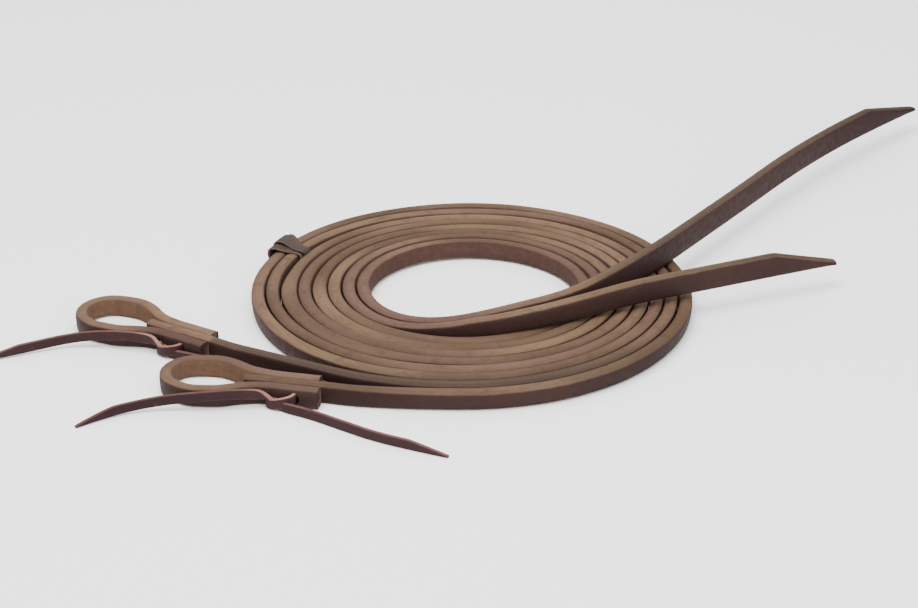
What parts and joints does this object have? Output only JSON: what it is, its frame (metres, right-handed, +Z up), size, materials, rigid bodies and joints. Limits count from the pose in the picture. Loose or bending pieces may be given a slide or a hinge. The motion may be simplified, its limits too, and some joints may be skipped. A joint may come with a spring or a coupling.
{
  "type": "leather reins",
  "caption": "Flat leather split reins coiled together on edge, with folded water loops tied on at the bit ends and straps that flex where they leave the coil.",
  "frame": {"origin": "centre of the coil's outermost quarter turn, on the surface that the coil stands on", "axes": "+X to the right along the front of the coil, with the tails; +Y to the back of the coil; +Z up"},
  "size_m": [0.5029, 0.413, 0.0249],
  "materials": {
    "strap_leather": "satin, dark reddish brown faces with worn lighter tan edges",
    "loop_leather": "satin outside, tan flesh side inside",
    "lace_leather": "soft latigo, dark reddish brown with pale cut edges",
    "keeper_leather": "dull grey brown with pale cut edges"
  },
  "bodies": {
    "coil": {"near_rein_coil": "strap_leather", "far_rein_coil": "strap_leather"},
    "keeper": {"keeper_strip": "keeper_leather"},
    "near_tail": {"near_rein_tail": "strap_leather"},
    "far_tail": {"far_rein_tail": "strap_leather"},
    "near_end": {"near_rein_lead": "strap_leather", "near_bit_loop": "loop_leather", "near_tie_knot": "lace_leather"},
    "far_end": {"far_rein_lead": "strap_leather", "far_bit_loop": "loop_leather", "far_tie_knot": "lace_leather", "far_tie_right_end": "lace_leather"},
    "near_tie_left": {"near_tie_left_end": "lace_leather"},
    "near_tie_right": {"near_tie_right_end": "lace_leather"},
    "far_tie_left": {"far_tie_left_end": "lace_leather"}
  },
  "joints": [
    {"name": "keeper_slide", "type": "hinge", "parent": "coil", "child": "keeper", "pos_m": [0.00373, 0.00411, 0.00475], "axis": [0, 0, 1], "range_deg": [-30, 14]},
    {"name": "near_tail_flex", "type": "hinge", "parent": "coil", "child": "near_tail", "pos_m": [0.02009, -0.0494, 0.00475], "axis": [0, 0, 1], "range_deg": [-30, 0]},
    {"name": "far_tail_flex", "type": "hinge", "parent": "coil", "child": "far_tail", "pos_m": [0.02404, -0.04051, 0.00475], "axis": [0, 0, 1], "range_deg": [0, 30]},
    {"name": "near_end_swing", "type": "hinge", "parent": "coil", "child": "near_end", "pos_m": [-0.01012, -0.11362, 0.00475], "axis": [0, 0, 1], "range_deg": [0, 25]},
    {"name": "far_end_swing", "type": "hinge", "parent": "coil", "child": "far_end", "pos_m": [-0.01004, -0.10565, 0.00475], "axis": [0, 0, 1], "range_deg": [-4, 0]},
    {"name": "near_tie_left_swing", "type": "hinge", "parent": "near_end", "child": "near_tie_left", "pos_m": [-0.0945, -0.1121, 0.00475], "axis": [0, 0, 1], "range_deg": [0, 30]},
    {"name": "near_tie_right_swing", "type": "hinge", "parent": "near_end", "child": "near_tie_right", "pos_m": [-0.0794, -0.119, 0.00475], "axis": [0, 0, 1], "range_deg": [-25, 15]},
    {"name": "far_tie_left_swing", "type": "hinge", "parent": "far_end", "child": "far_tie_left", "pos_m": [-0.151, -0.0532, 0.00475], "axis": [0, 0, 1], "range_deg": [0, 25]}
  ]
}
